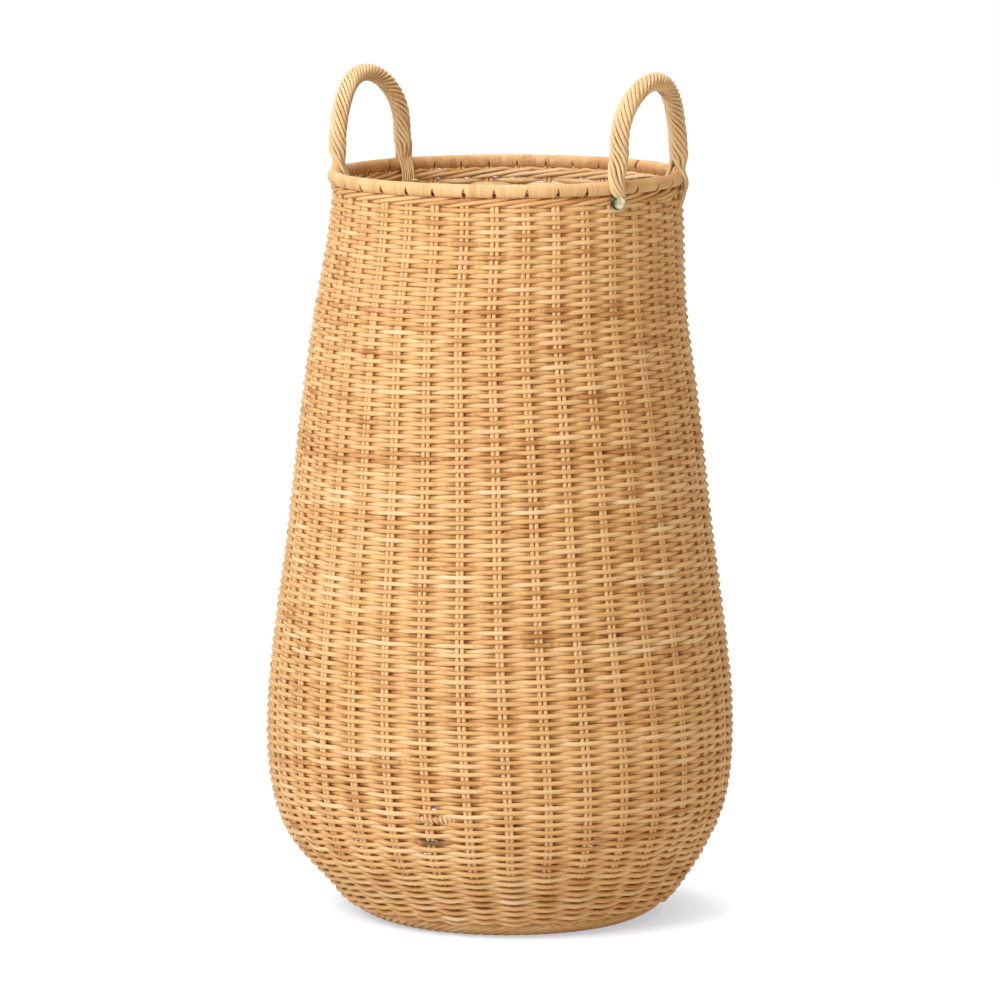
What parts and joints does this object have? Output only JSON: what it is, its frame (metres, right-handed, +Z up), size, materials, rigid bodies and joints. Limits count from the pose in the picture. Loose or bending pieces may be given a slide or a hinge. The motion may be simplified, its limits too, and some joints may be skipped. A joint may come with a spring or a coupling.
{
  "type": "laundry basket",
  "caption": "Tall open laundry basket of woven rattan with a full belly, a narrower bound rim and two roped arched handles.",
  "frame": {"origin": "on the floor at the middle of the foot ring", "axes": "+Z up along the basket's axis; the two handles stand on +X and -X"},
  "size_m": [0.3754, 0.3754, 0.6779],
  "materials": {
    "weave": "satin natural rattan",
    "stake": "satin natural rattan",
    "cane": "satin natural rattan with its glossy skin",
    "stud": "polished pale metal"
  },
  "bodies": {
    "root": {"foot_border": "weave", "base_mat": "weave", "base_sticks": "stake", "foot_waling": "weave", "siding_weave": "weave", "top_waling": "weave", "stake_pair_01": "stake", "stake_pair_02": "stake", "stake_pair_03": "stake", "stake_pair_04": "stake", "stake_pair_05": "stake", "stake_pair_06": "stake", "stake_pair_07": "stake", "stake_pair_08": "stake", "stake_pair_09": "stake", "stake_pair_10": "stake", "stake_pair_11": "stake", "stake_pair_12": "stake", "stake_pair_13": "stake", "stake_pair_14": "stake", "stake_pair_15": "stake", "stake_pair_16": "stake", "stake_pair_17": "stake", "stake_pair_18": "stake", "stake_pair_19": "stake", "stake_pair_20": "stake", "stake_pair_21": "stake", "stake_pair_22": "stake", "stake_pair_23": "stake", "stake_pair_24": "stake", "stake_pair_25": "stake", "stake_pair_26": "stake", "stake_pair_27": "stake", "stake_pair_28": "stake", "stake_pair_29": "stake", "stake_pair_30": "stake", "stake_pair_31": "stake", "stake_pair_32": "stake", "stake_pair_33": "stake", "stake_pair_34": "stake", "stake_pair_35": "stake", "stake_pair_36": "stake", "rim_hoop_outer": "stake", "rim_hoop_inner": "stake", "rim_binding": "cane", "handle_bow_right": "stake", "handle_rope_right": "cane", "handle_tail_outer_right_front": "cane", "handle_tail_inner_right_front": "cane", "handle_tail_outer_right_back": "cane", "handle_tail_inner_right_back": "cane", "handle_bow_left": "stake", "handle_rope_left": "cane", "handle_tail_outer_left_front": "cane", "handle_tail_inner_left_front": "cane", "handle_tail_outer_left_back": "cane", "handle_tail_inner_left_back": "cane", "stud": "stud"}
  },
  "joints": []
}
